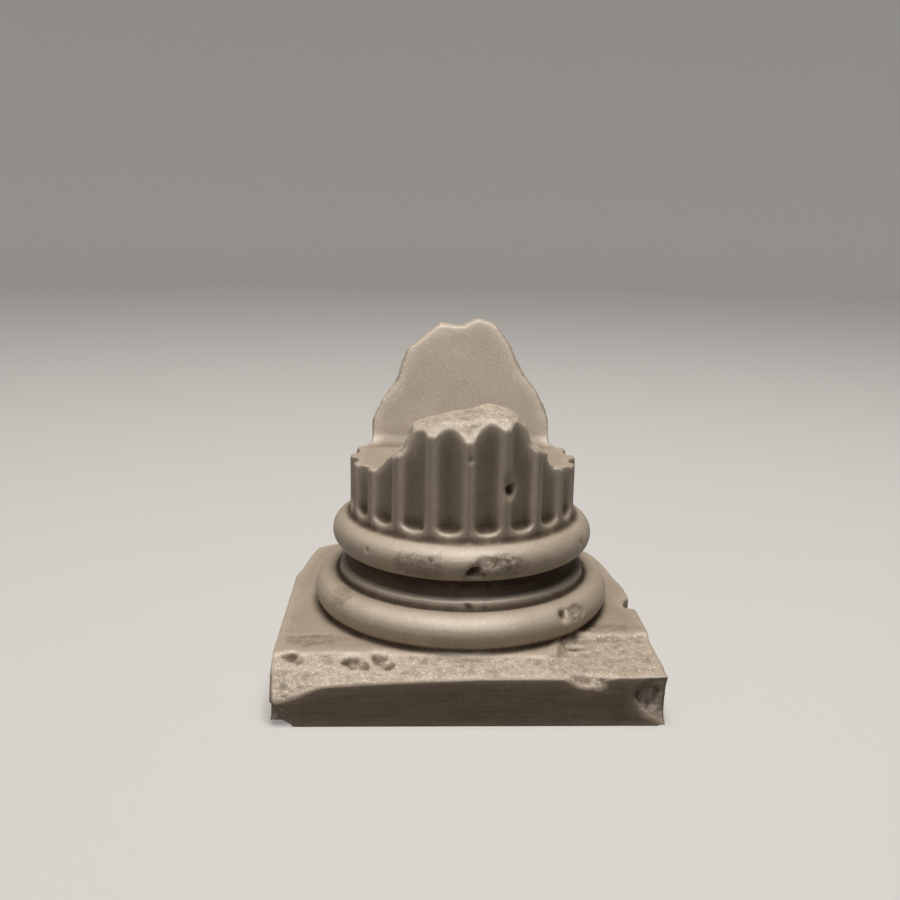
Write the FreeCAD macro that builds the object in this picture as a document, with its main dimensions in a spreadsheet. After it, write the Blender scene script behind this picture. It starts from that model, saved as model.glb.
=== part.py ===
import FreeCAD, Part
import os
import re
import Sketcher

# A desk stand shaped as the stump of a broken, fluted column on a damaged square plinth.
# It is one solid. Millimetres, +Z up, the front towards -Y, the origin under the middle of the plinth.

SIZES = {
    "plinth_width": 84.0,
    "plinth_height": 13.0,
    "low_roll_reach": 31.25,
    "low_roll_height": 7.8,
    "band_radius": 29.5,
    "band_height": 2.1,
    "hollow_height": 4.2,
    "hollow_reach": 30.1,
    "high_roll_height": 8.4,
    "shaft_radius": 27.0,
    "column_height": 80.0,
    "flute_count": 20,
    "flute_radius": 4.2,
    "flute_depth": 1.8,
    "flute_foot": 1.6,
    "flute_round": 2.0,
    "seat_height": 48.8,
    "slot_front": 18.5,
    "slot_width": 30.0,
    "slot_lean": 15.0,
    "slot_corner": 4.0,
    "tab_height": 16.6,
    "edge_drop": 3.0,
    "edge_setback": 7.0,
    "edge_lip": 0.4,
    "corner_left": 14.0,
    "corner_right": 18.0,
    "notch_depth": 2.8,
    "notch_length": 6.6,
    "notch_place": 4.4,
    "chip_size": 4.0,
}

# How far past the solid every cutter runs
SPARE = 3.0

# A plane just in front of or behind the round shaft
OUTSIDE = "1.056*shaft_radius"

# How many straight steps each round stretch has, and the foot of each flute
ROLL_STEPS = 10
HOLLOW_STEPS = 6
FOOT_STEPS = 5

# A chip's wedge: half its open face, and how far its blunt end reaches to the one side of its middle
# and to the other, as shares of its size
OPEN_HALF = 0.8
END_FAR = 0.3
END_NEAR = 0.16

# How far a dent's second wedge is turned against its first, in degrees
CORNER_TURN = 43

# The smaller hollow beside a chip's main one: its share of the size, how far aside, and its own turn
SIDE_SHARE = 0.7
SIDE_AWAY = 0.42
SIDE_TURN = 24

# The ragged top of the front tab: share of the shaft's radius across, then the share of the tab's
# height at the outer face, at the shoulder behind it and at the slot
TAB_BREAK = [
    (-1.15, -0.16, -0.12, 0.01),
    (-0.76, 0.00, 0.03, 0.04),
    (-0.62, 0.22, 0.26, 0.29),
    (-0.52, 0.34, 0.38, 0.43),
    (-0.45, 0.52, 0.66, 0.72),
    (-0.31, 0.42, 0.72, 0.83),
    (-0.23, 0.44, 0.77, 0.81),
    (-0.14, 0.44, 0.79, 0.88),
    (0.00, 0.42, 0.80, 0.92),
    (0.17, 0.50, 0.86, 1.00),
    (0.31, 0.50, 0.84, 0.96),
    (0.40, 0.56, 0.79, 0.86),
    (0.47, 0.56, 0.68, 0.74),
    (0.51, 0.40, 0.46, 0.50),
    (0.66, 0.27, 0.29, 0.32),
    (0.755, 0.19, 0.21, 0.22),
    (0.79, 0.02, 0.04, 0.05),
    (1.15, -0.16, -0.12, 0.01),
]

# The ragged top of the back wall: share of the shaft's radius across, then the share of the wall's
# height at the slot, half way back and at the outer face
BACK_BREAK = [
    (-1.15, 0.02, 0.02, 0.02),
    (-0.86, 0.10, 0.12, 0.08),
    (-0.74, 0.36, 0.34, 0.26),
    (-0.60, 0.48, 0.50, 0.44),
    (-0.50, 0.78, 0.74, 0.60),
    (-0.34, 0.84, 0.86, 0.74),
    (-0.20, 0.94, 0.95, 0.80),
    (0.00, 0.90, 0.93, 0.84),
    (0.16, 0.97, 1.00, 0.88),
    (0.34, 0.92, 0.94, 0.82),
    (0.46, 0.80, 0.78, 0.70),
    (0.56, 0.56, 0.60, 0.52),
    (0.72, 0.44, 0.40, 0.30),
    (0.85, 0.14, 0.12, 0.10),
    (1.15, 0.02, 0.02, 0.02),
]

# The plinth's broken front edge: share of half the width across, how far back the break starts,
# how far back and how deep its ledge lies, and how deep it is at the front face
EDGE_BREAK = [
    (-1.10, 1.22, 0.60, 0.55, 2.90),
    (-0.95, 1.24, 0.60, 0.55, 2.60),
    (-0.855, 1.22, 0.58, 0.50, 2.10),
    (-0.745, 1.30, 0.60, 0.50, 1.35),
    (-0.62, 1.28, 0.62, 0.45, 1.20),
    (-0.45, 1.24, 0.60, 0.50, 1.05),
    (-0.25, 1.10, 0.60, 0.42, 0.90),
    (-0.04, 1.02, 0.50, 0.42, 0.75),
    (0.22, 1.00, 0.50, 0.38, 0.70),
    (0.40, 1.02, 0.55, 0.38, 0.67),
    (0.455, 1.38, 0.90, 0.40, 0.67),
    (0.51, 2.30, 1.90, 0.42, 0.67),
    (0.59, 2.70, 2.40, 0.40, 0.70),
    (0.74, 2.80, 2.50, 0.42, 0.60),
    (0.96, 2.80, 2.50, 0.35, 0.50),
    (1.10, 2.80, 2.50, 0.35, 0.50),
]

# The plinth's broken back corners: how far in from the side and from the back
LEFT_CORNER = [(0.00, 2.1), (0.09, 1.5), (0.16, 0.9), (0.28, 0.3), (0.60, 0.08), (1.0, 0.0)]
RIGHT_CORNER = [(0.00, 2.1), (0.06, 1.6), (0.11, 1.1), (0.18, 0.7), (0.28, 0.4), (0.60, 0.15), (1.0, 0.0)]

document = FreeCAD.newDocument("column_stand")
sheet = document.addObject("Spreadsheet::Sheet", "Sizes")


def fill_sheet():
    """Write each driving size into the sheet as a number with an alias."""
    for row, (alias, size) in enumerate(SIZES.items(), start=1):
        sheet.set(f"A{row}", alias)
        sheet.set(f"B{row}", str(size))
        sheet.setAlias(f"B{row}", alias)
    document.recompute()


def bound(text):
    """The expression with each size's name pointing at the sheet."""
    return re.sub(r"[a-z]\w*", lambda word: "Sizes." + word[0] if word[0] in SIZES else word[0], text)


def number(text):
    """The present value of an expression."""
    return float(sheet.evalExpression(bound(text)))


def origin_plane(body, role):
    """The body's own origin plane with this role, such as XY_Plane."""
    for feature in body.Origin.OriginFeatures:
        if feature.Role == role:
            return feature
    raise ValueError(role)


def sketch_on(body, name, role, away="0", turn="0"):
    """A sketch on an origin plane, moved along its normal and turned about its upright axis."""
    sketch = body.newObject("Sketcher::SketchObject", name)
    sketch.AttachmentSupport = [(origin_plane(body, role), "")]
    sketch.MapMode = "FlatFace"
    sketch.AttachmentOffset = FreeCAD.Placement(
        FreeCAD.Vector(0, 0, number(away)), FreeCAD.Rotation(FreeCAD.Vector(0, 1, 0), number(turn))
    )
    if away != "0":
        sketch.setExpression("AttachmentOffset.Base.z", bound(away))
    if turn != "0":
        sketch.setExpression("AttachmentOffset.Rotation.Angle", bound(turn))
    return sketch


def hold(sketch, shape, place, across, up):
    """Tie a point of the sketch to two expressions, measured from the sketch's origin."""
    for kind, text in (("DistanceX", across), ("DistanceY", up)):
        if text is None:
            continue
        index = sketch.addConstraint(Sketcher.Constraint(kind, -1, 1, shape, place, number(text)))
        sketch.setExpression(f"Constraints[{index}]", bound(text))


def draw(sketch, corners):
    """Close an outline through the corners. A corner is (across, up), or (across, up, centre, side)
    where an arc leads on from it: centre is how far across the arc's centre lies, and side is
    1 where the arc passes to the right of the chord and -1 where it passes to the left."""
    points = [FreeCAD.Vector(number(corner[0]), number(corner[1]), 0) for corner in corners]
    ends = []
    for index, corner in enumerate(corners):
        start = points[index]
        end = points[(index + 1) % len(points)]
        if len(corner) == 2:
            line = sketch.addGeometry(Part.LineSegment(start, end))
            ends.append((line, 1, 2))
            continue
        middle = arc_middle(start, end, number(corner[2]), corner[3])
        arc = sketch.addGeometry(Part.Arc(start, middle, end))
        runs_on = sketch.getPoint(arc, 1).distanceToPoint(start) < 1e-6
        ends.append((arc, 1, 2) if runs_on else (arc, 2, 1))
    for index, corner in enumerate(corners):
        shape, first, last = ends[index]
        following, begin, _ = ends[(index + 1) % len(ends)]
        sketch.addConstraint(Sketcher.Constraint("Coincident", shape, last, following, begin))
        hold(sketch, shape, first, corner[0], corner[1])
        if len(corner) > 2:
            hold(sketch, shape, 3, corner[2], None)


def arc_middle(start, end, centre_across, side):
    """The middle point of the arc whose centre lies at centre_across on the chord's upright bisector."""
    chord = end - start
    half_way = (start + end) * 0.5
    right = FreeCAD.Vector(chord.y, -chord.x, 0).normalize()
    along = (centre_across - half_way.x) / right.x
    centre = half_way + right * along
    radius = centre.distanceToPoint(start)
    return centre + right * (side * radius)


def check(feature):
    """Recompute, and stop where the feature failed or changed nothing."""
    document.recompute()
    if "Invalid" in feature.State or "Error" in feature.State or feature.Shape.isNull():
        raise RuntimeError(f"{feature.Name} failed")
    return feature


def cut_with(body, feature):
    """Check that a cutting feature takes material away."""
    check(feature)
    before = feature.BaseFeature.Shape.Volume
    if feature.Shape.Volume > before - 0.01:
        raise RuntimeError(f"{feature.Name} cuts nothing")
    body.Tip = feature
    return feature


def make_plinth(body):
    """The square block under the column."""
    half = "plinth_width/2"
    square = sketch_on(body, "plinth_outline", "XY_Plane")
    draw(square, [(f"-{half}", f"-{half}"), (half, f"-{half}"), (half, half), (f"-{half}", half)])
    plinth = body.newObject("PartDesign::Pad", "plinth")
    plinth.Profile = square
    plinth.setExpression("Length", bound("plinth_height"))
    check(plinth)


def round_stretch(across, up, radius, first, last, steps):
    """Corners round a centre, evenly turned from the first angle to the last in degrees."""
    corners = []
    for step in range(steps + 1):
        angle = f"({first} + ({last} - ({first}))*{step}/{steps})"
        corners.append((f"{across} + {radius}*cos({angle})", f"{up} + {radius}*sin({angle})"))
    return corners


def make_column(body):
    """Lower roll, band, hollow, upper roll and plain shaft, turned about the upright axis."""
    low_middle = "plinth_height + low_roll_height/2"
    band_foot = "plinth_height + low_roll_height"
    band_top = f"{band_foot} + band_height"
    hollow_top = f"{band_top} + hollow_height"
    high_middle = f"{hollow_top} + high_roll_height/2"
    low_lead = "(low_roll_reach - band_radius)"
    low_radius = f"sqrt({low_lead}^2 + (low_roll_height/2)^2)"
    low_start = f"-acos({low_lead}/{low_radius})/1deg"
    step_in = "(band_radius - shaft_radius)"
    hollow_up = f"(hollow_height/2 + (hollow_reach - (band_radius + shaft_radius)/2)*{step_in}/hollow_height)"
    hollow_radius = f"sqrt((hollow_reach - band_radius)^2 + {hollow_up}^2)"
    hollow_start = f"180 + acos((hollow_reach - band_radius)/{hollow_radius})/1deg"
    hollow_end = f"180 - atan2(hollow_height - {hollow_up}; hollow_reach - shaft_radius)/1deg"
    low_end = f"{low_start} + 180"
    low_roll = round_stretch("low_roll_reach", low_middle, low_radius, low_start, low_end, ROLL_STEPS)
    hollow = round_stretch(
        "hollow_reach", f"{band_top} + {hollow_up}", hollow_radius, hollow_start, hollow_end, HOLLOW_STEPS
    )
    high_roll = round_stretch("shaft_radius", high_middle, "high_roll_height/2", "-90", "90", ROLL_STEPS)
    profile = sketch_on(body, "column_profile", "XZ_Plane")
    draw(
        profile,
        [("0", "plinth_height/2"), (low_roll[0][0], "plinth_height/2")]
        + low_roll
        + hollow
        + high_roll[1:]
        + [("shaft_radius", f"column_height + {SPARE}"), ("0", f"column_height + {SPARE}")],
    )
    column = body.newObject("PartDesign::Revolution", "column")
    column.Profile = profile
    column.ReferenceAxis = (profile, ["V_Axis"])
    column.Angle = 360.0
    check(column)


def make_flutes(body):
    """Upright grooves with round feet, spaced evenly, with a ridge at the middle of the front."""
    axis_away = "shaft_radius - flute_depth + flute_radius"
    high_roll_top = "plinth_height + low_roll_height + band_height + hollow_height + high_roll_height"
    foot = f"{high_roll_top} + flute_foot"
    round_away = f"{axis_away} + flute_radius - flute_round"
    top = f"column_height + {2 * SPARE}"
    cutter = sketch_on(body, "flute_cutter", "XZ_Plane", turn="180/flute_count")
    draw(
        cutter,
        [(axis_away, foot)]
        + round_stretch(round_away, f"{foot} + flute_round", "flute_round", -90, 0, FOOT_STEPS)
        + [(f"{axis_away} + flute_radius", top), (axis_away, top)],
    )
    flute = body.newObject("PartDesign::Groove", "flute")
    flute.Profile = cutter
    flute.ReferenceAxis = (cutter, [f"Edge{FOOT_STEPS + 4}"])
    flute.Angle = 360.0
    cut_with(body, flute)
    flutes = body.newObject("PartDesign::PolarPattern", "flutes")
    flutes.Originals = [flute]
    flutes.Axis = (origin_plane(body, "Z_Axis"), [""])
    flutes.Angle = 360.0
    flutes.setExpression("Occurrences", bound("flute_count"))
    body.Tip = flutes
    check(flutes)


def make_slot(body):
    """The open slot from side to side, with a flat seat, walls that lean back and round corners."""
    slot_back = "(slot_width - slot_front)"
    rise = f"(column_height + {SPARE} - seat_height)"
    front_turn = "slot_corner*tan(45 + slot_lean/2)"
    back_turn = "slot_corner*tan(45 - slot_lean/2)"
    section = sketch_on(body, "slot_section", "YZ_Plane")
    draw(
        section,
        [
            (f"-slot_front + {rise}*tan(slot_lean)", f"seat_height + {rise}"),
            (
                f"-slot_front + {front_turn}*sin(slot_lean)",
                f"seat_height + {front_turn}*cos(slot_lean)",
                f"-slot_front + {front_turn}",
                1,
            ),
            (f"-slot_front + {front_turn}", "seat_height"),
            (f"{slot_back} - {back_turn}", "seat_height", f"{slot_back} - {back_turn}", 1),
            (
                f"{slot_back} + {back_turn}*sin(slot_lean)",
                f"seat_height + {back_turn}*cos(slot_lean)",
            ),
            (f"{slot_back} + {rise}*tan(slot_lean)", f"seat_height + {rise}"),
        ],
    )
    slot = body.newObject("PartDesign::Pocket", "slot")
    slot.Profile = section
    slot.Midplane = True
    slot.setExpression("Length", bound("plinth_width"))
    cut_with(body, slot)


def loft_away(body, name, sections):
    """Take away the straight-sided loft through these sketches."""
    loft = body.newObject("PartDesign::SubtractiveLoft", name)
    loft.Profile = sections[0]
    loft.Sections = [(section, [""]) for section in sections[1:]]
    loft.Ruled = True
    return cut_with(body, loft)


def break_wall(body, name, stations, aways, foot, height):
    """Break a wall off along a ragged top. A station is how far across, as a share of the shaft's
    radius, then the share of the wall's height that is left at each of the planes in aways."""
    top = f"column_height + {2 * SPARE}"
    sections = []
    for index, away in enumerate(aways):
        section = sketch_on(body, f"{name}_section_{index + 1}", "XZ_Plane", away=away)
        corners = [
            (f"{station[0]}*shaft_radius", f"{foot} + {station[index + 1]}*{height}") for station in stations
        ]
        corners += [(f"{stations[-1][0]}*shaft_radius", top), (f"{stations[0][0]}*shaft_radius", top)]
        draw(section, corners)
        sections.append(section)
    loft_away(body, name, sections)


def break_tab(body):
    """The front tab, its ragged top rounded down to the front."""
    slot_mouth = f"slot_front - (column_height + {SPARE} - seat_height)*tan(slot_lean) - 0.04*shaft_radius"
    aways = [OUTSIDE, "0.889*shaft_radius", slot_mouth]
    break_wall(body, "tab_break", TAB_BREAK, aways, "seat_height", "tab_height")


def break_back_wall(body):
    """The taller back wall, broken off at its top and down both sides."""
    slot_foot = "-(slot_width - slot_front - slot_corner/2)"
    aways = [slot_foot, "-0.778*shaft_radius", f"-{OUTSIDE}"]
    break_wall(body, "back_break", BACK_BREAK, aways, "seat_height", "(column_height - seat_height)")


def break_front_edge(body):
    """Break off the plinth's top front edge, station by station from left to right."""
    top = "plinth_height + 0.1*edge_drop"
    front = "-plinth_width/2"
    sections = []
    for index, (across, setback, ledge_back, ledge_drop, drop) in enumerate(EDGE_BREAK):
        section = sketch_on(body, f"edge_section_{index + 1}", "YZ_Plane", away=f"{across}*plinth_width/2")
        draw(
            section,
            [
                (f"{front} + {setback}*edge_setback", top),
                (f"{front} + {setback}*edge_setback", "plinth_height"),
                (f"{front} + {setback}*edge_setback - 0.6*edge_lip", "plinth_height - edge_lip"),
                (f"{front} + {ledge_back}*edge_setback", f"plinth_height - {ledge_drop}*edge_drop"),
                (front, f"plinth_height - {drop}*edge_drop"),
                (f"{front} - {SPARE}", f"plinth_height - {drop}*edge_drop"),
                (f"{front} - {SPARE}", top),
            ],
        )
        sections.append(section)
    loft_away(body, "front_edge_break", sections)


def break_corner(body, name, side, reach, outline, foot_share):
    """Break off a back corner of the plinth, less at its foot than at its top. A point of the outline
    is how far in from the side and from the back, as shares of reach."""
    half = "plinth_width/2"
    sections = []
    for level, height, share in (
        ("foot", "-0.23*plinth_height", foot_share),
        ("top", "1.23*plinth_height", 1),
    ):
        section = sketch_on(body, f"{name}_{level}", "XY_Plane", away=height)
        corners = [
            (f"{side}*({half} - {inward * share}*{reach})", f"{half} - {forward * share}*{reach}")
            for inward, forward in outline
        ]
        corners.append((corners[-1][0], f"{half} + {SPARE}"))
        corners.append((f"{side}*({half} + {SPARE})", f"{half} + {SPARE}"))
        corners.append((f"{side}*({half} + {SPARE})", corners[0][1]))
        draw(section, corners)
        sections.append(section)
    loft_away(body, name, sections)


def break_notch(body):
    """The stepped notch in the plinth's right edge."""
    edge = "plinth_width/2"
    sections = []
    for level, height, share in (
        ("foot", "plinth_height - notch_length", 0.3),
        ("top", "1.23*plinth_height", 1.1),
    ):
        section = sketch_on(body, f"notch_{level}", "XY_Plane", away=height)
        draw(
            section,
            [
                (f"{edge} - {0.4 * share}*notch_depth", "-notch_place + 0.5*notch_length"),
                (f"{edge} - {share}*notch_depth", "-notch_place"),
                (f"{edge} - {share}*notch_depth", "-notch_place - 0.4*notch_length"),
                (f"{edge} - {0.1 * share}*notch_depth", "-notch_place - 0.5*notch_length"),
                (f"{edge} + {SPARE}", "-notch_place - 0.5*notch_length"),
                (f"{edge} + {SPARE}", "-notch_place + 0.6*notch_length"),
            ],
        )
        sections.append(section)
    loft_away(body, "side_notch", sections)


def facing(turn):
    """The rotation that turns -Y to face around the column from the front, then up from level, after
    a spin about its own axis. All three are in degrees."""
    around, rise, spin = turn
    swing = FreeCAD.Rotation(FreeCAD.Vector(0, 0, 1), around)
    lift = FreeCAD.Rotation(FreeCAD.Vector(1, 0, 0), -rise)
    twist = FreeCAD.Rotation(FreeCAD.Vector(0, 1, 0), spin)
    return swing * lift * twist


def shard(name, place, turn, across, upright, depth):
    """A blunt wedge that narrows inwards. The sizes are shares of chip_size."""
    piece = document.addObject("Part::Wedge", name)
    for side, text in (
        ("Xmin", f"-{OPEN_HALF * across}*chip_size"),
        ("Xmax", f"{OPEN_HALF * across}*chip_size"),
        ("Zmin", f"-{OPEN_HALF * upright}*chip_size"),
        ("Zmax", f"{OPEN_HALF * upright}*chip_size"),
        ("Ymin", f"-{depth}*chip_size"),
        ("Ymax", f"{depth}*chip_size"),
        ("X2min", f"-{END_FAR * across}*chip_size"),
        ("X2max", f"{END_NEAR * across}*chip_size"),
        ("Z2min", f"-{END_NEAR * upright}*chip_size"),
        ("Z2max", f"{END_FAR * upright}*chip_size"),
    ):
        setattr(piece, side, number(text))
        piece.setExpression(side, bound(text))
    base = FreeCAD.Vector(*(number(text) for text in place))
    piece.Placement = FreeCAD.Placement(base, facing(turn))
    for axis, text in zip("xyz", place):
        piece.setExpression(f"Placement.Base.{axis}", bound(text))
    return piece


def dent(name, place, turn, across, upright, depth, aside=0.0):
    """A hollow with eight uneven sides: what two wedges share, one turned against the other. Aside is
    how far it lies off its place, as a share of chip_size."""
    shift = facing(turn).multVec(FreeCAD.Vector(aside, 0, 0))
    moved = [f"{text} + ({part:.3f})*chip_size" for text, part in zip(place, shift)]
    around, rise, spin = turn
    shared = document.addObject("Part::Common", name)
    shared.Base = shard(f"{name}_straight", moved, turn, across, upright, depth)
    shared.Tool = shard(f"{name}_turned", moved, (around, rise, spin + CORNER_TURN), across, upright, depth)
    return check(shared)


def chip(name, place, turn, across, upright, depth):
    """An uneven hollow of two dents, the second smaller and beside the first."""
    around, rise, spin = turn
    sizes = [SIDE_SHARE * size for size in (across, upright, depth)]
    return [
        dent(f"{name}_main", place, turn, across, upright, depth),
        dent(f"{name}_side", place, (around, rise, spin + SIDE_TURN), *sizes, aside=SIDE_AWAY * across),
    ]


def chip_round(name, around, away, height, *sizes):
    """A chip in the round part, at an angle around from the front and a distance from the axis.
    The sizes are the rise and the spin in degrees, then across, upright and depth."""
    place = (f"({away})*sin({around})", f"-({away})*cos({around})", height)
    return chip(name, place, (around, sizes[0], sizes[1]), *sizes[2:])


def make_chips():
    """The larger chips and pits in the mouldings, the ridges and the plinth."""
    low_roll = "plinth_height + low_roll_height/2"
    low_reach = "low_roll_reach + low_roll_height/2"
    band = "plinth_height + low_roll_height + band_height/2"
    high_roll = "plinth_height + low_roll_height + band_height + hollow_height + high_roll_height/2"
    high_reach = "shaft_radius + high_roll_height/2"
    high_under = "shaft_radius + 0.4*high_roll_height"
    chips = []
    for name, around, away, height, *sizes in (
        ("high_roll_notch", 2.6, high_under, f"{high_roll} - 0.27*high_roll_height", -30, 8, 1.1, 1.3, 0.52),
        ("high_roll_spall", 6.5, high_reach, f"{high_roll} + 0.06*high_roll_height", 8, 72, 1.45, 1.5, 0.17),
        ("high_roll_flake", 13, high_reach, f"{high_roll} - 0.02*high_roll_height", 0, 20, 1.35, 1.4, 0.14),
        ("high_roll_pit", -46, high_reach, f"{high_roll} + 0.1*high_roll_height", 10, 20, 0.4, 0.36, 0.2),
        ("high_roll_nick", 60, high_reach, f"{high_roll} + 0.12*high_roll_height", 10, 30, 0.5, 0.6, 0.22),
        ("high_roll_back", 152, high_reach, f"{high_roll} + 0.1*high_roll_height", 12, 15, 1.6, 1.2, 0.24),
        ("band_nick", 0.5, "band_radius", band, 0, 10, 0.6, 0.36, 0.16),
        ("low_roll_pit", 39, low_reach, f"{low_roll} + 0.26*low_roll_height", 34, 18, 0.95, 1.1, 0.36),
        ("low_roll_spall", 45.5, low_reach, f"{low_roll} + 0.2*low_roll_height", 28, -24, 1.15, 1.15, 0.15),
        ("low_roll_chip", -60, low_reach, f"{low_roll} + 0.42*low_roll_height", 50, 12, 1.5, 0.8, 0.14),
        ("low_roll_back", -148, low_reach, f"{low_roll} + 0.14*low_roll_height", 20, 20, 1.7, 1.3, 0.26),
        ("ridge_pit", 21.5, "shaft_radius", "seat_height - 0.13*tab_height", 0, 8, 1.15, 1.05, 0.55),
        ("ridge_dent", 18.5, "shaft_radius", "seat_height + 0.03*tab_height", 0, 62, 0.8, 0.6, 0.24),
        ("ridge_nick", 0.5, "shaft_radius", "seat_height + 0.32*tab_height", 0, 14, 0.3, 0.4, 0.14),
    ):
        chips += chip_round(name, around, away, height, *sizes)
    left = "-plinth_width/2"
    right = "plinth_width/2"
    front = "-plinth_width/2"
    top = "plinth_height"
    for name, place, turn, across, upright, depth in (
        (
            "edge_pit_left",
            (f"{left} + 0.048*plinth_width", f"{front} + 1.07*edge_setback", f"{top} - 0.2*edge_drop"),
            (0, 68, 8), 1.05, 0.95, 0.32,
        ),
        (
            "edge_pit_middle",
            (f"{left} + 0.207*plinth_width", f"{front} + 0.86*edge_setback", f"{top} - 0.4*edge_drop"),
            (0, 62, -10), 1.35, 1.05, 0.36,
        ),
        (
            "edge_pit_right",
            (f"{left} + 0.274*plinth_width", f"{front} + 1.0*edge_setback", f"{top} - 0.25*edge_drop"),
            (0, 66, 24), 1.35, 1.1, 0.34,
        ),
        (
            "crevice",
            ("0.286*plinth_width", f"{front} + 1.93*edge_setback", f"{top} - 0.42*edge_drop"),
            (0, 78, -38), 1.0, 0.6, 0.42,
        ),
        (
            "front_bite",
            (f"{right} - 0.214*plinth_width", front, f"{top} - 0.14*plinth_height"),
            (0, 25, 6), 2.2, 1.7, 0.5,
        ),
        (
            "corner_scoop",
            (f"{right} - 0.04*plinth_width", front, "0.44*plinth_height"),
            (12, 0, 10), 2.2, 2.2, 0.42,
        ),
        (
            "foot_scoop",
            (f"{left} + 0.012*plinth_width", front, "0.06*plinth_height"),
            (-36, -20, -8), 2.9, 2.1, 0.8,
        ),
        (
            "back_bite",
            (f"{left} + 0.357*plinth_width", "plinth_width/2", top),
            (180, 35, 10), 2.6, 1.3, 0.4,
        ),
    ):
        chips += chip(name, place, turn, across, upright, depth)
    chips.append(shard("upright_edge_wear", (left, front, "0.5*plinth_height"), (-45, 4, 3), 0.55, 3.2, 0.24))
    together = document.addObject("Part::MultiFuse", "chips")
    together.Shapes = chips
    return check(together)


def check_document():
    """Stop where any object failed or the stand is not one sound solid."""
    document.recompute()
    for item in document.Objects:
        if "Invalid" in item.State or "Error" in item.State:
            raise RuntimeError(f"{item.Name} failed")
    if stand.Shape.isNull() or not stand.Shape.isValid() or len(stand.Shape.Solids) != 1:
        raise RuntimeError("the stand is not one sound solid")


fill_sheet()
broken = document.addObject("PartDesign::Body", "broken_column")
make_plinth(broken)
make_column(broken)
make_flutes(broken)
make_slot(broken)
break_tab(broken)
break_back_wall(broken)
break_front_edge(broken)
break_corner(broken, "left_corner_break", -1, "corner_left", LEFT_CORNER, 0.6)
break_corner(broken, "right_corner_break", 1, "corner_right", RIGHT_CORNER, 0.55)
break_notch(broken)
stand = document.addObject("Part::Cut", "column_stand")
stand.Label = "column_stand"
stand.Base = broken
stand.Tool = make_chips()
check_document()

os.makedirs("parts", exist_ok=True)
stand.Shape.exportStep(f"parts/{stand.Label}.step")
box = stand.Shape.optimalBoundingBox(False, False)
size = f"{box.XLength:.1f} x {box.YLength:.1f} x {box.ZLength:.1f} mm"
print(f"{stand.Label}: {size}, {stand.Shape.Volume:.0f} mm3")
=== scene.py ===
import math

import bmesh
import bpy
import numpy as np
from mathutils import Matrix, Vector, noise


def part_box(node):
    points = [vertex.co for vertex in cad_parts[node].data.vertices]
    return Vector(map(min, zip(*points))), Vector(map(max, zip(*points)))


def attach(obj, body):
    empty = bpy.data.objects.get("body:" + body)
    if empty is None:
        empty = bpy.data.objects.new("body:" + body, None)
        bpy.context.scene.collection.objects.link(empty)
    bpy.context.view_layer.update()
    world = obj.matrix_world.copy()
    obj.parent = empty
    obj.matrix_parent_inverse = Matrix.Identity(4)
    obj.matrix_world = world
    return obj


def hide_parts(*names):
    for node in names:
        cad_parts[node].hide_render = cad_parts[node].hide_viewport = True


# The stump of a broken, fluted column on a damaged square plinth, printed in satin stone-grey
# plastic. Blender's own units are metres, +Z up, the front towards -Y. Sizes named here are
# millimetres, apart from those of the floor and the lamps, which are metres.

MM = 0.001

# The unbroken form, as turned and squared before anything was knocked off it. The rolls and the
# hollow are rounds: how far the middle of each lies from the axis, how high, and its radius. The
# plinth's top is in the open from PLINTH_TOP_FROM outwards. The spans are heights.
PLINTH_HALF = 42.0
PLINTH_TOP = 13.0
PLINTH_TOP_FROM = 32.0
LOWER_ROLL = (31.25, 16.9, 4.275)
UPPER_ROLL = (27.0, 31.3, 4.2)
BAND_RADIUS = 29.5
BAND_SPAN = (20.0, 23.5)
HOLLOW = (30.1, 26.1, 3.256)
HOLLOW_SPAN = (22.0, 28.0)
SHAFT_RADIUS = 27.0
SHAFT_FOOT = 35.5
FLUTES = 20
FLUTE_RADIUS = 4.2
FLUTE_AXIS = 29.4
FLUTE_FOOT = 37.1
FLUTE_ROUND = 2.0
SEAT = 48.8
SLOT_FRONT = -18.5
SLOT_BACK = 11.5
SLOT_LEAN = math.radians(15)
SLOT_CORNER = 4.0

# How far past its own end a face of the form still counts
MARGIN = 0.5

# How fine the weathered skin is, and how near two points are to be taken as one
VOXEL = 0.4
MOST_TRIANGLES = 190_000
SEAM = 0.002

# A point this near to the unbroken form is taken as whole, and this far from it as broken
WHOLE_WITHIN = 0.24
BROKEN_BEYOND = 0.6

# The underside stays flat: points start to move at the first height and are free at the second
FREE_ABOVE = (0.2, 1.2)

# How strongly the rims of the breaks are eased, and how strongly the worn skin is smoothed, away
# from the breaks and at most
RIM_EASE = 3.2
SOFT_ANYWHERE = 0.5
SOFT_MOST = 0.9

# How high the random relief stands: on the breaks, on whole faces, and the last fine crumbs
LUMP_HEIGHT = 0.32
CRUMB_HEIGHT = 0.12
WAVE_HEIGHT = 0.06
FINE_HEIGHT = 0.15

# Spalled patches: the middle of each, how far it reaches across, back and up, and how deep it is
SPALLS = (
    ((8.8, -29.8, 31.2), (6.6, 3.4, 3.8), 0.32),
    ((-11.2, -29.0, 31.0), (8.6, 4.2, 3.5), 0.20),
    ((25.2, -24.6, 18.6), (3.4, 3.4, 2.8), 0.34),
    ((-28.6, -18.5, 19.8), (4.2, 4.0, 2.6), 0.10),
    ((-33.5, -27.2, 13.0), (7.0, 3.6, 1.0), 0.08),
    ((33.0, -20.6, 13.0), (8.0, 3.6, 1.0), 0.12),
    ((27.0, -29.0, 11.6), (3.4, 2.2, 1.4), 0.40),
    ((18.0, 25.5, 31.4), (4.0, 4.0, 2.6), 0.34),
    ((-24.0, 25.5, 17.5), (4.6, 4.6, 2.8), 0.36),
)

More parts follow.
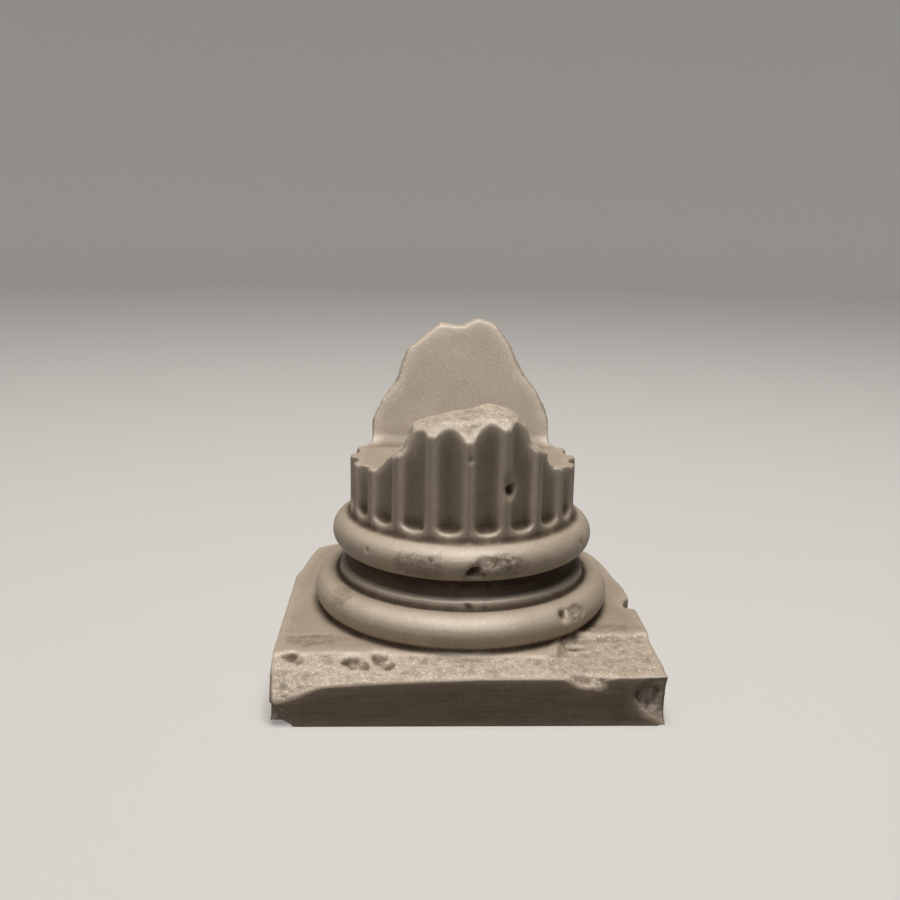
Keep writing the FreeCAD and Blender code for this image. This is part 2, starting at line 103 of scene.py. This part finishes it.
# A patch has its full depth within the first share of its reach and none beyond the second, and its
# outline wanders by the third. Its depth varies about a mean with the coarse and the fine noise,
# within limits. The fine crumbs and the material treat it as a break of the strength that comes last.
SPALL_FULL = 0.55
SPALL_GONE = 1.0
SPALL_WANDER = 0.34
SPALL_MEAN = 0.55
SPALL_BY_PATCH = 0.5
SPALL_BY_CRUMB = 0.6
SPALL_LIMITS = (0.05, 1.6)
SPALL_AS_BREAK = 0.6

# Scratches: both ends, half the width and the depth. Each is deepest over this share of its width,
# and its edges wander by this much.
SCRATCHES = (
    ((-39.2, -25.0, 13.0), (-30.6, -24.2, 13.0), 0.95, 0.15),
    ((-30.6, -24.2, 13.0), (-27.5, -24.8, 13.0), 0.60, 0.10),
    ((-9.3, -29.4, 33.3), (-7.4, -30.4, 32.0), 0.32, 0.26),
    ((-8.4, -29.9, 32.6), (-6.2, -30.4, 32.9), 0.26, 0.18),
    ((-21.0, -24.6, 20.5), (-15.0, -28.6, 20.8), 0.30, 0.14),
)
SCRATCH_FLOOR = 0.2
SCRATCH_WANDER = 0.12

# Where the marks for the material fade in or out: the first by distance from the axis, the others
# by height
SIDE_SKIN = (PLINTH_HALF - 0.6, PLINTH_HALF - 0.2)
SIDE_FADE = (9.5, 12.0)
TOP_EDGE_FADE = (PLINTH_TOP - 0.8, PLINTH_TOP - 0.2)
TOP_EDGE_END = PLINTH_TOP + 1.0
BAND_HIGHLIGHT_SPAN = (20.7, 23.3)
HOLLOW_FADE = (22.2, 24.4)
RECESS_FADE = (15.0, 19.0)
RIDGE_FADE = (FLUTE_FOOT - 1.5, FLUTE_FOOT + 0.5)

# How strong some of the marks are at most: the painted shade in the hollow, and the painted
# highlights on the ridges' edges and on the band
HOLLOW_PAINTED_SHADE = 0.85
RIDGE_EDGE_HIGHLIGHT = 0.7
BAND_HIGHLIGHT = 0.8

# How hidden places are told from open ones: each mark, its rounds of averaging after those of the
# mark before it, and the depth below the averaged skin that counts as full
SHELTER = (("crease", 3, 0.10), ("hollow", 9, 0.28), ("recess", 36, 0.80))

# How far below nothing each of these marks may go in the material, on what stands out, where the
# crease and hollow give a painted highlight
LEAST_SHELTER = (("crease", -0.15), ("hollow", -0.12), ("recess", 0.0))
CREASE_ON_BREAKS = 0.10

# The noise in the material: the size of its features, its detail and its roughness
CLOUDS = (
    ("stain", 7.0, 4.0, 0.6),
    ("mottle", 0.85, 3.0, 0.7),
    ("grain", 0.27, 2.0, 0.6),
    ("crumb", 0.42, 3.0, 0.75),
)
STREAK_LENGTH = 9.0
STREAK_WIDTH = 0.45
FLECK_SIZE = 0.36
FLECK_ABOVE = 0.70
FLECK_ANYWHERE = 0.9
FLECK_ON_BREAKS = 2.3

# What the material is mixed from: each layer, its own middle, and how much it adds
TONE = (
    ("stain", 0.5, 0.18),
    ("mottle", 0.5, 0.10),
    ("grain", 0.5, 0.24),
    ("patchy", 0.0, 0.78),
    ("mottled", 0.0, 0.60),
    # A little more painted shade in the creases of the breaks, and painted highlight where they stand
    # out
    ("crease_shade_on_breaks", 0.0, 1.0),
    ("broken", 0.0, 0.06),
    # Painted shade where the skin lies below its surroundings, in creases, hollows and recesses, and
    # a painted highlight where crease and hollow stand out
    ("crease", 0.0, -0.30),
    ("hollow", 0.0, -0.22),
    ("recess", 0.0, -0.24),
    # Painted shade on the plinth's upright sides and in the hollow under the upper roll
    ("painted_shade", 0.0, -0.18),
    ("streaky", 0.0, 0.30),
    # The spalled patches are painted darker, standing in for the shade of their rough faces
    ("spall", 0.0, -0.15),
    # Painted highlights on the break's rim at the plinth's top edge, on the ridges' edges and on the
    # band
    ("painted_highlight", 0.0, 0.16),
    # Painted shade on the ridges' outer faces
    ("ridge", 0.0, -0.09),
    ("sparkle", 0.0, 0.50),
)
ROUGHNESS = (
    ("broken", 0.0, 0.08),
    ("grain", 0.5, 0.24),
    ("mottle", 0.5, 0.16),
    ("sparkle", 0.0, -0.20),
)
SHEEN = (
    # Less sheen in creases, hollows and recesses is painted shade too
    ("crease", 0.0, -0.60),
    ("hollow", 0.0, -0.30),
    ("recess", 0.0, -0.50),
    # Less sheen where shade is painted on the plinth's sides and in the hollow
    ("painted_shade", 0.0, -0.62),
    ("spall", 0.0, -0.30),
    # Less sheen on the ridges' outer faces, as painted shade
    ("ridge", 0.0, -0.16),
)
RELIEF = (
    ("grain", 0.0, 0.60),
    ("mottle", 0.0, 0.70),
    ("patchy", 0.0, 2.6),
    ("fleck", 0.0, 0.6),
)

# What a plain open face has before the layers are added, the least sheen, and the bump
PLAIN_TONE = 0.5
PLAIN_ROUGHNESS = 0.60
PLAIN_SHEEN = 0.72
LEAST_SHEEN = 0.06
BUMP_STRENGTH = 0.42
BUMP_DEPTH = 0.16

# The stone's colours from the darkest tone to the palest
DARK_STONE = (0.070, 0.050, 0.034, 1)
MIDDLE_STONE = (0.27, 0.216, 0.161, 1)
PALE_STONE = (0.62, 0.52, 0.41, 1)

# The floor: its colour for the light that it throws back, its colour and glow as seen, how far it
# runs flat, the radius of its bend, how high the wall rises above that, and the steps of both turns
FLOOR_THROWN = (0.13, 0.122, 0.112, 1)
FLOOR_SEEN = (0.42, 0.413, 0.40, 1)
FLOOR_GLOW = (1.0, 0.97, 0.93, 1)
FLOOR_GLOW_STRENGTH = 0.22
FLOOR_ROUGHNESS = 0.8
FLOOR_FLAT = 1.35
FLOOR_BEND = 0.35
FLOOR_RISE = 1.2
BEND_STEPS = 12
ROUND_STEPS = 72
FLOOR_SEAM = 0.00001

# The sockets of a Mix node for colours
MIX_SHARE, MIX_FIRST, MIX_SECOND, MIX_RESULT = 0, 6, 7, 2

# Square lamps: the place of each, its width, its power in watts, its colour, and whether it adds
# only sheen. All are turned to the aim.
LAMPS = {
    "key": ((0.03, -0.11, 0.85), 0.40, 8.2, (1.0, 0.955, 0.90), False),
    "sheen": ((0.05, -0.52, 0.72), 0.56, 21.0, (1.0, 0.905, 0.79), True),
    "left_sheen": ((-0.58, -0.12, 0.66), 0.56, 6.5, (1.0, 0.905, 0.79), True),
    "left_fill": ((-0.75, -0.75, 0.30), 0.6, 1.0, (1.0, 0.90, 0.80), False),
}
AIM = Vector((0, 0, 0.03))
SKY_COLOUR = (1.0, 0.92, 0.82, 1)
SKY_STRENGTH = 0.065

# The camera: its place, the directions to its right and ahead, and its lens
CAMERA_PLACE = (-13.24, -240.67, 106.09)
CAMERA_RIGHT = (0.9991, -0.0380, 0.0168)
CAMERA_AHEAD = (0.0408, 0.9733, -0.2261)
SENSOR_WIDTH = 36.0
FOCAL_LENGTH = 41.23


def mesh_object(name, mesh):
    """A new object that shows this mesh, at the origin."""
    piece = bpy.data.objects.new(name, mesh)
    bpy.context.scene.collection.objects.link(piece)
    return piece


def settle(piece):
    """Put the result of the piece's modifiers into its own mesh."""
    bpy.context.view_layer.update()
    graph = bpy.context.evaluated_depsgraph_get()
    mesh = bpy.data.meshes.new_from_object(piece.evaluated_get(graph))
    old = piece.data
    piece.modifiers.clear()
    piece.data = mesh
    bpy.data.meshes.remove(old)
    mesh.name = piece.name


def merged_copy(node, name):
    """A copy of a CAD node's mesh with the seams between its faces closed."""
    shell = bmesh.new()
    shell.from_mesh(node.data)
    bmesh.ops.remove_doubles(shell, verts=shell.verts, dist=SEAM * MM)
    mesh = bpy.data.meshes.new(name)
    shell.to_mesh(mesh)
    shell.free()
    return mesh_object(name, mesh)


def remesh(piece):
    """Give the piece an even skin of small squares."""
    skin = piece.modifiers.new("skin", "REMESH")
    skin.mode = "VOXEL"
    skin.voxel_size = VOXEL * MM
    skin.adaptivity = 0.0
    settle(piece)


def thin_out(piece):
    """Drop the triangles that flat stretches don't need."""
    piece.data.calc_loop_triangles()
    ratio = MOST_TRIANGLES / len(piece.data.loop_triangles)
    if ratio < 1:
        fewer = piece.modifiers.new("fewer", "DECIMATE")
        fewer.ratio = ratio
        settle(piece)


def points_of(mesh):
    """The mesh's points in millimetres, as rows."""
    points = np.empty(len(mesh.vertices) * 3)
    mesh.vertices.foreach_get("co", points)
    return points.reshape(-1, 3) / MM


def normals_of(mesh):
    """The outward direction at each of the mesh's points."""
    normals = np.empty(len(mesh.vertices) * 3, np.float32)
    mesh.vertex_normals.foreach_get("vector", normals)
    return normals.reshape(-1, 3)


def set_points(mesh, points):
    """Move the mesh's points to these places in millimetres."""
    mesh.vertices.foreach_set("co", (points * MM).ravel())
    mesh.update()


def joins_of(mesh):
    """The two ends of every edge of the mesh."""
    edges = np.empty(len(mesh.edges) * 2, np.int64)
    mesh.edges.foreach_get("vertices", edges)
    return edges.reshape(-1, 2).T


def averaged(values, joins, rounds):
    """Each row replaced by the average over its neighbours, this many times."""
    first, second = joins
    size = len(values)
    count = np.bincount(first, minlength=size) + np.bincount(second, minlength=size)
    for _ in range(rounds):
        total = np.empty_like(values)
        for axis in range(values.shape[1]):
            column = values[:, axis]
            forward = np.bincount(first, column[second], size)
            total[:, axis] = forward + np.bincount(second, column[first], size)
        values = total / np.maximum(count, 1)[:, None]
    return values


def smooth_step(low, high, values):
    """0 below low, 1 above high, and an even curve between."""
    share = np.clip((values - low) / (high - low), 0, 1)
    return share * share * (3 - 2 * share)


def close_to(gap, full, gone):
    """1 where the gap is at most full, 0 where it is at least gone, and an even curve between."""
    return 1 - smooth_step(full, gone, abs(gap))


def between(values, span):
    """Whether each value lies inside this span."""
    return (values > span[0]) & (values < span[1])


def only(where, gap):
    """The size of the gap where this holds, and no end to it elsewhere."""
    return np.where(where, abs(gap), np.inf)


def reach_of(points):
    """How far each point lies from the column's axis."""
    return np.hypot(points[:, 0], points[:, 1])


def width_of(points):
    """How far each point lies from the axis, measured square to the plinth's sides."""
    return np.maximum(abs(points[:, 0]), abs(points[:, 1]))


def off_round(points, turned):
    """How far each point lies outside a turned round, or less than nothing inside it."""
    across, up, radius = turned
    return np.hypot(reach_of(points) - across, points[:, 2] - up) - radius


def from_flute(points):
    """How far each point lies from the middle line of the nearest flute, seen from above."""
    reach = reach_of(points)
    pitch = 2 * math.pi / FLUTES
    around = np.arctan2(points[:, 0], -points[:, 1])
    from_middle = (around / pitch) % 1 * pitch - pitch / 2
    return np.hypot(reach * np.cos(from_middle) - FLUTE_AXIS, reach * np.sin(from_middle))


def off_flute(points):
    """How far each point lies off the nearest flute's wall or its rounded foot."""
    height = points[:, 2]
    off_axis = from_flute(points)
    round_up = FLUTE_FOOT + FLUTE_ROUND
    from_round = np.hypot(off_axis - (FLUTE_RADIUS - FLUTE_ROUND), height - round_up)
    return np.where(height < round_up, abs(from_round - FLUTE_ROUND), abs(off_axis - FLUTE_RADIUS))


def off_slot(points):
    """How far each point lies off the slot's leaning walls and their rounded feet."""
    along, height = points[:, 1], points[:, 2]
    lean, upright = math.sin(SLOT_LEAN), math.cos(SLOT_LEAN)
    corner_span = (SEAT - MARGIN, SEAT + SLOT_CORNER)
    gaps = []
    for foot, inward in ((SLOT_FRONT, 1), (SLOT_BACK, -1)):
        wall = (along - foot) * upright - (height - SEAT) * lean
        middle = foot + SLOT_CORNER * (lean + inward) / upright
        corner = np.hypot(along - middle, height - SEAT - SLOT_CORNER) - SLOT_CORNER
        gaps.append(only(height > SEAT - MARGIN, wall))
        gaps.append(only(between(height, corner_span), corner))
    return np.min(gaps, axis=0)


def off_the_form(points):
    """How far each point lies from the unbroken form."""
    height = points[:, 2]
    reach = reach_of(points)
    gaps = [
        abs(height),
        only(height < PLINTH_TOP + MARGIN, PLINTH_HALF - width_of(points)),
        only(reach > PLINTH_TOP_FROM, height - PLINTH_TOP),
        only(height < SHAFT_FOOT, off_round(points, LOWER_ROLL)),
        only(between(height, BAND_SPAN), reach - BAND_RADIUS),
        only(between(height, HOLLOW_SPAN), off_round(points, HOLLOW)),
        only(height < SHAFT_FOOT, off_round(points, UPPER_ROLL)),
        only(height > SHAFT_FOOT - MARGIN, reach - SHAFT_RADIUS),
        only(height > SHAFT_FOOT, off_flute(points)),
        only(reach < SHAFT_RADIUS, height - SEAT),
        off_slot(points),
    ]
    return np.min(gaps, axis=0)


def field(points, size, octaves, seed):
    """A smooth random value between about -1 and 1 at each point, with features of this size."""
    shift = Vector((17.3, 5.1, 9.7)) * seed
    fading, finer = 0.8, 2.0
    places = [Vector(point) / size + shift for point in points.tolist()]
    return np.array([noise.fractal(place, fading, finer, octaves) for place in places])


def pits(points, spacing, radius, depth, share, seed):
    """Round pits scattered over the surface: how deep each point sinks."""
    shift = Vector((3.7, 11.9, 7.3)) * seed
    apart = 7.31
    sunk = np.zeros(len(points))
    for index, point in enumerate(points.tolist()):
        away, centres = noise.voronoi(Vector(point) / spacing + shift)
        pick = noise.cell(centres[0] * apart)
        if pick * 0.5 + 0.5 < share:
            inside = away[0] * spacing / radius
            if inside < 1:
                sunk[index] = depth * (1 - inside * inside) ** 2
    return sunk


def near_line(points, start, end):
    """How far each point lies from the stretch between two places."""
    start, end = np.array(start), np.array(end)
    along = end - start
    share = np.clip((points - start) @ along / (along @ along), 0, 1)
    return np.linalg.norm(points - start - share[:, None] * along, axis=1)


def spalled(points, ragged):
    """How deep the spalled patches go at each point, and how surely the point is in one."""
    deep = np.zeros(len(points))
    inside = np.zeros(len(points))
    for middle, reach, depth in SPALLS:
        away = np.linalg.norm((points - middle) / reach, axis=1) + SPALL_WANDER * ragged
        here = 1 - smooth_step(SPALL_FULL, SPALL_GONE, away)
        deep = np.maximum(deep, here * depth)
        inside = np.maximum(inside, here)
    return deep, inside


def scratched(points, ragged, start, end, half, depth):
    """How deep one scratch goes at each point."""
    off = near_line(points, start, end) + SCRATCH_WANDER * ragged
    return depth * (1 - smooth_step(SCRATCH_FLOOR * half, half, off))


def wear(points, broken, ragged):
    """How far wear moves each point outwards, and how surely the point is in a spalled patch."""
    whole = 1 - broken
    crumbs = field(points, size=0.9, octaves=2, seed=2)
    lumps = LUMP_HEIGHT * field(points, size=5.0, octaves=3, seed=1) + CRUMB_HEIGHT * crumbs
    waves = WAVE_HEIGHT * field(points, size=11.0, octaves=2, seed=3)
    push = broken * lumps + whole * waves
    deep, inside = spalled(points, ragged)
    uneven = np.clip(SPALL_MEAN + SPALL_BY_PATCH * ragged + SPALL_BY_CRUMB * crumbs, *SPALL_LIMITS)
    push -= deep * uneven * whole
    push -= pits(points, spacing=1.7, radius=0.6, depth=0.16, share=0.55, seed=9) * inside * whole
    for scratch in SCRATCHES:
        push -= scratched(points, ragged, *scratch)
    few = pits(points, spacing=6.5, radius=0.8, depth=0.30, share=0.16, seed=5)
    push -= few * whole * (1 - upright_sides(points))
    push -= pits(points, spacing=2.2, radius=0.5, depth=0.20, share=0.30, seed=7) * broken
    return push, inside


def fine_crumbs(points):
    """The last, sharpest relief of the breaks: how far it moves each point outwards."""
    crumbs = FINE_HEIGHT * field(points, size=0.7, octaves=2, seed=4)
    return crumbs - pits(points, spacing=1.3, radius=0.5, depth=0.10, share=0.4, seed=11)


def weather(piece):
    """Roughen what is broken, spall and scratch what is whole, and note both for the material, with
    the places of painted shade and highlights.
    """
    mesh = piece.data
    points = points_of(mesh)
    normals = normals_of(mesh)
    joins = joins_of(mesh)
    broken = smooth_step(WHOLE_WITHIN, BROKEN_BEYOND, off_the_form(points))
    free = smooth_step(*FREE_ABOVE, points[:, 2])
    near = averaged(broken[:, None], joins, rounds=5)[:, 0]
    rim = RIM_EASE * near * (1 - near) * free
    ragged = field(points, size=2.6, octaves=3, seed=6)
    push, inside = wear(points, broken, ragged)
    moved = points + (averaged(points, joins, rounds=7) - points) * rim[:, None]
    moved += normals * (push * free)[:, None]
    soft = np.minimum(SOFT_ANYWHERE + near, SOFT_MOST) * free
    moved += (averaged(moved, joins, rounds=2) - moved) * soft[:, None]
    rough = np.maximum(broken, SPALL_AS_BREAK * inside)
    moved += normals * (fine_crumbs(points) * rough * free)[:, None]
    set_points(mesh, moved)
    mark_wear_and_painted_light(mesh, points, broken, near, rim, inside)


def mark_wear_and_painted_light(mesh, points, broken, near, rim, inside):
    """Store for the material what wear did at each point, and where shade and highlights are painted
    on whole faces.
    """
    whole = 1 - broken
    height = points[:, 2]
    top_edge = smooth_step(*TOP_EDGE_FADE, height) * (height < TOP_EDGE_END)
    mark(mesh, "broken", np.maximum(near, SPALL_AS_BREAK * inside))
    mark(mesh, "spall", inside * whole)
    # Painted shade on the plinth's upright sides and in the hollow under the upper roll
    mark(mesh, "painted_shade", np.maximum(upright_sides(points), HOLLOW_PAINTED_SHADE * hollow_ring(points)) * whole)
    # Painted highlights on the break's rim at the plinth's top edge, on the ridges' edges and on the
    # band
    mark(mesh, "painted_highlight", np.maximum(rim * top_edge, painted_edge_highlights(points) * whole))
    # Painted shade on the ridges' outer faces
    mark(mesh, "ridge", ridge_faces(points) * whole)


def mark(mesh, name, values):
    """Store a value for the material at each point."""
    attribute = mesh.attributes.new(name, "FLOAT", "POINT")
    attribute.data.foreach_set("value", values.astype(np.float32))


def upright_sides(points):
    """How surely each point lies on the plinth's upright sides, below their upper edges."""
    outer = smooth_step(*SIDE_SKIN, width_of(points))
    return outer * (1 - smooth_step(*SIDE_FADE, points[:, 2]))


def hollow_ring(points):
    """How surely each point lies in the hollow between the two rolls, most under the upper one, where
    shade is painted.
    """
    skin = close_to(off_round(points, HOLLOW), full=0.3, gone=0.9)
    return skin * smooth_step(*HOLLOW_FADE, points[:, 2]) * (reach_of(points) < HOLLOW[0])


def ridge_faces(points):
    """How surely each point lies on the outer face of a ridge between two flutes."""
    outer = close_to(reach_of(points) - SHAFT_RADIUS, full=0.2, gone=0.5)
    return outer * smooth_step(*RIDGE_FADE, points[:, 2])


def painted_edge_highlights(points):
    """The narrow edges that get a painted highlight: both sides of each ridge, and the upright band.
    """
    arris = close_to(from_flute(points) - FLUTE_RADIUS, full=0.25, gone=0.6) * ridge_faces(points)
    on_band = close_to(reach_of(points) - BAND_RADIUS, full=0.2, gone=0.5)
    band = on_band * between(points[:, 2], BAND_HIGHLIGHT_SPAN)
    return np.maximum(RIDGE_EDGE_HIGHLIGHT * arris, BAND_HIGHLIGHT * band)


def mark_shelter(mesh):
    """Store for the material how far each point lies below its nearer and farther surroundings, for
    painted shade and painted highlights.
    """
    points = points_of(mesh)
    normals = normals_of(mesh)
    joins = joins_of(mesh)
    around = points
    for name, rounds, depth in SHELTER:
        around = averaged(around, joins, rounds)
        below = np.einsum("ij,ij->i", around - points, normals)
        below = averaged(below[:, None], joins, rounds=2)[:, 0]
        if name == "recess":
            below *= smooth_step(*RECESS_FADE, points[:, 2])
        mark(mesh, name, np.clip(below / depth, -1, 1))


def keep_inside(piece, low, high):
    """Hold every point inside the CAD model's box."""
    points = points_of(piece.data)
    set_points(piece.data, np.clip(points, np.array(low) / MM, np.array(high) / MM))


class Nodes:
    """Short calls for a material's nodes."""

    def __init__(self, name):
        self.material = bpy.data.materials.new(name)
        self.material.use_nodes = True
        self.tree = self.material.node_tree
        self.shader = self.tree.nodes["Principled BSDF"]

    def add(self, kind, **settings):
        """A node of this kind, with these properties."""
        node = self.tree.nodes.new(kind)
        for name, value in settings.items():
            setattr(node, name, value)
        return node

    def link(self, start, end):
        """Join an output to an input."""
        self.tree.links.new(start, end)

    def math(self, operation, first, second):
        """The output of a math node on two numbers or outputs."""
        node = self.add("ShaderNodeMath", operation=operation)
        for socket, value in zip(node.inputs, (first, second)):
            if isinstance(value, (int, float)):
                socket.default_value = value
            else:
                self.link(value, socket)
        return node.outputs[0]

    def varied(self, share, output):
        """An output about its middle of a half, as strong as the share."""
        return self.math("MULTIPLY", share, self.math("SUBTRACT", output, 0.5))

    def total(self, start, layers, parts):
        """A number plus some layers, each by its own weight and taken from its own middle."""
        for name, middle, weight in parts:
            centred = self.math("SUBTRACT", layers[name], middle)
            start = self.math("ADD", start, self.math("MULTIPLY", centred, weight))
        return start

    def mark(self, name):
        """A value stored at the mesh's points."""
        return self.add("ShaderNodeAttribute", attribute_name=name).outputs["Fac"]

    def scaled(self, spot, scale):
        """A place with each of its coordinates multiplied."""
        mapping = self.add("ShaderNodeMapping")
        mapping.inputs["Scale"].default_value = scale
        self.link(spot, mapping.inputs["Vector"])
        return mapping.outputs["Vector"]

    def cloud(self, spot, size, detail, rough):
        """Soft random noise with features of this size in millimetres."""
        texture = self.add("ShaderNodeTexNoise")
        texture.inputs["Scale"].default_value = 1 / size
        texture.inputs["Detail"].default_value = detail
        texture.inputs["Roughness"].default_value = rough
        self.link(spot, texture.inputs["Vector"])
        return texture.outputs["Fac"]


def flecks(nodes, spot):
    """Small bright grains here and there, from a cell pattern."""
    cells = nodes.add("ShaderNodeTexVoronoi")
    cells.inputs["Scale"].default_value = 1 / FLECK_SIZE
    nodes.link(spot, cells.inputs["Vector"])
    return nodes.math("MAXIMUM", nodes.math("SUBTRACT", cells.outputs["Color"], FLECK_ABOVE), 0.0)


def stone_layers(nodes):
    """All that the stone's colour, gloss and relief are mixed from, by name."""
    place = nodes.add("ShaderNodeTexCoord").outputs["Object"]
    spot = nodes.scaled(place, (1 / MM, 1 / MM, 1 / MM))
    layers = {name: nodes.mark(name) for name in ("broken", "painted_shade", "spall", "painted_highlight", "ridge")}
    for name, least in LEAST_SHELTER:
        layers[name] = nodes.math("MAXIMUM", nodes.mark(name), least)
    for name, size, detail, rough in CLOUDS:
        layers[name] = nodes.cloud(spot, size, detail, rough)
    level = nodes.scaled(spot, (1 / STREAK_LENGTH, 1 / STREAK_LENGTH, 1 / STREAK_WIDTH))
    streaks = nodes.cloud(level, size=1.0, detail=2.0, rough=0.5)
    broken = layers["broken"]
    brightness = nodes.math("ADD", nodes.math("MULTIPLY", broken, FLECK_ON_BREAKS), FLECK_ANYWHERE)
    layers["fleck"] = flecks(nodes, spot)
    layers["sparkle"] = nodes.math("MULTIPLY", layers["fleck"], brightness)
    layers["patchy"] = nodes.varied(broken, layers["crumb"])
    layers["mottled"] = nodes.varied(layers["spall"], layers["mottle"])
    layers["streaky"] = nodes.varied(layers["painted_shade"], streaks)
    # A little more painted shade in the creases of the breaks, and painted highlight where they stand
    # out
    slight = nodes.math("MULTIPLY", layers["crease"], CREASE_ON_BREAKS)
    layers["crease_shade_on_breaks"] = nodes.math("MULTIPLY", broken, slight)
    return layers


def stone_print():
    """Satin stone-grey print plastic: finely grained, with painted shade in creases and hollows and
    on the plinth's sides, painted highlights on narrow edges, and paler on the breaks.
    """
    nodes = Nodes("stone_print")
    layers = stone_layers(nodes)

    ramp = nodes.add("ShaderNodeValToRGB")
    ramp.color_ramp.elements[0].color = DARK_STONE
    ramp.color_ramp.elements[1].color = PALE_STONE
    ramp.color_ramp.elements.new(PLAIN_TONE).color = MIDDLE_STONE
    nodes.link(nodes.total(PLAIN_TONE, layers, TONE), ramp.inputs["Fac"])
    nodes.link(ramp.outputs["Color"], nodes.shader.inputs["Base Color"])

    rough = nodes.total(PLAIN_ROUGHNESS, layers, ROUGHNESS)
    nodes.link(rough, nodes.shader.inputs["Roughness"])
    sheen = nodes.math("MAXIMUM", nodes.total(PLAIN_SHEEN, layers, SHEEN), LEAST_SHEEN)
    nodes.link(sheen, nodes.shader.inputs["Specular IOR Level"])

    bump = nodes.add("ShaderNodeBump")
    bump.inputs["Strength"].default_value = BUMP_STRENGTH
    bump.inputs["Distance"].default_value = BUMP_DEPTH * MM
    nodes.link(nodes.total(0.0, layers, RELIEF), bump.inputs["Height"])
    nodes.link(bump.outputs["Normal"], nodes.shader.inputs["Normal"])
    return nodes.material


def pale_floor():
    """An even pale grey that throws little light back up on the stand."""
    nodes = Nodes("pale_floor")
    path = nodes.add("ShaderNodeLightPath")
    seen = nodes.math("MAXIMUM", path.outputs["Is Camera Ray"], path.outputs["Is Glossy Ray"])
    seen = nodes.math("MAXIMUM", seen, path.outputs["Is Transmission Ray"])
    tone = nodes.add("ShaderNodeMix", data_type="RGBA")
    nodes.link(seen, tone.inputs[MIX_SHARE])
    tone.inputs[MIX_FIRST].default_value = FLOOR_THROWN
    tone.inputs[MIX_SECOND].default_value = FLOOR_SEEN
    nodes.link(tone.outputs[MIX_RESULT], nodes.shader.inputs["Base Color"])
    glow = nodes.math("MULTIPLY", seen, FLOOR_GLOW_STRENGTH)
    nodes.link(glow, nodes.shader.inputs["Emission Strength"])
    nodes.shader.inputs["Emission Color"].default_value = FLOOR_GLOW
    nodes.shader.inputs["Roughness"].default_value = FLOOR_ROUGHNESS
    nodes.shader.inputs["Specular IOR Level"].default_value = 0.0
    return nodes.material


def make_column(node):
    """The whole stand, with its breaks roughened and its faces softly worn."""
    column = merged_copy(node, "weathered_column")
    remesh(column)
    weather(column)
    mark_shelter(column.data)
    thin_out(column)
    low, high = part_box("column_stand")
    keep_inside(column, low, high)
    column.data.shade_smooth()
    column.data.materials.append(stone_print())
    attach(column, "root")
    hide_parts("column_stand")


def floor_profile(bowl):
    """Draw the floor's section and return it: flat from the middle, then a bend, then a wall."""
    inner = bowl.verts.new((0, 0, 0))
    outer = bowl.verts.new((FLOOR_FLAT, 0, 0))
    bowl.edges.new((inner, outer))
    bend = bmesh.ops.spin(
        bowl,
        geom=[outer],
        cent=(FLOOR_FLAT, 0, FLOOR_BEND),
        axis=(0, 1, 0),
        angle=-math.pi / 2,
        steps=BEND_STEPS,
        use_merge=False,
    )
    bend_top = [item for item in bend["geom_last"] if isinstance(item, bmesh.types.BMVert)]
    wall = bmesh.ops.extrude_vert_indiv(bowl, verts=bend_top)
    bmesh.ops.translate(bowl, verts=wall["verts"], vec=(0, 0, FLOOR_RISE))
    return bowl.verts[:] + bowl.edges[:]


def make_floor():
    """A pale round floor that curves up into a pale wall all around the stand."""
    bowl = bmesh.new()
    bmesh.ops.spin(
        bowl,
        geom=floor_profile(bowl),
        axis=(0, 0, 1),
        cent=(0, 0, 0),
        angle=2 * math.pi,
        steps=ROUND_STEPS,
        use_merge=True,
    )
    bmesh.ops.remove_doubles(bowl, verts=bowl.verts, dist=FLOOR_SEAM)
    bmesh.ops.recalc_face_normals(bowl, faces=bowl.faces)
    mesh = bpy.data.meshes.new("floor")
    bowl.to_mesh(mesh)
    bowl.free()
    mesh.shade_smooth()
    mesh.materials.append(pale_floor())
    mesh_object("floor", mesh)


def area_lamp(name, place, width, power, colour, only_sheen):
    """A square soft lamp that points at the stand."""
    lamp = bpy.data.lights.new(name, "AREA")
    lamp.shape = "SQUARE"
    lamp.size = width
    lamp.energy = power
    lamp.color = colour
    holder = bpy.data.objects.new(name, lamp)
    holder.location = place
    holder.rotation_euler = (AIM - Vector(place)).to_track_quat("-Z", "Y").to_euler()
    holder.visible_diffuse = not only_sheen
    bpy.context.scene.collection.objects.link(holder)


def make_light():
    """One soft lamp high above, two that add only sheen, a weak one at the left, and a weak sky."""
    for name, settings in LAMPS.items():
        area_lamp(name, *settings)
    world = bpy.data.worlds.new("studio")
    world.use_nodes = True
    sky = world.node_tree.nodes["Background"]
    sky.inputs["Color"].default_value = SKY_COLOUR
    sky.inputs["Strength"].default_value = SKY_STRENGTH
    bpy.context.scene.world = world


def make_camera():
    """The camera at the photograph's place, with its angle of view."""
    lens = bpy.data.cameras.new("camera")
    lens.sensor_width = SENSOR_WIDTH
    lens.lens = FOCAL_LENGTH
    camera = bpy.data.objects.new("camera", lens)
    right = Vector(CAMERA_RIGHT).normalized()
    ahead = Vector(CAMERA_AHEAD).normalized()
    up = right.cross(ahead).normalized()
    right = ahead.cross(up)
    turn = Matrix((right, up, -ahead)).transposed()
    camera.matrix_world = Matrix.Translation(Vector(CAMERA_PLACE) * MM) @ turn.to_4x4()
    bpy.context.scene.collection.objects.link(camera)
    bpy.context.scene.camera = camera


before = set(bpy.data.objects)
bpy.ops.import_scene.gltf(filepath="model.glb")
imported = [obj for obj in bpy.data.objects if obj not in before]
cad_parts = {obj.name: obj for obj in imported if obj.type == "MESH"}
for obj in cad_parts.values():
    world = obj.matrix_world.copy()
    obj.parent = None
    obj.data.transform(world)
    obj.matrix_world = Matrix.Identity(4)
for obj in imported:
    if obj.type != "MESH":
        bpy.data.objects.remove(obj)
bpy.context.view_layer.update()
make_camera()
make_column(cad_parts["column_stand"])
make_floor()
make_light()
bpy.context.scene.view_settings.view_transform = "Standard"
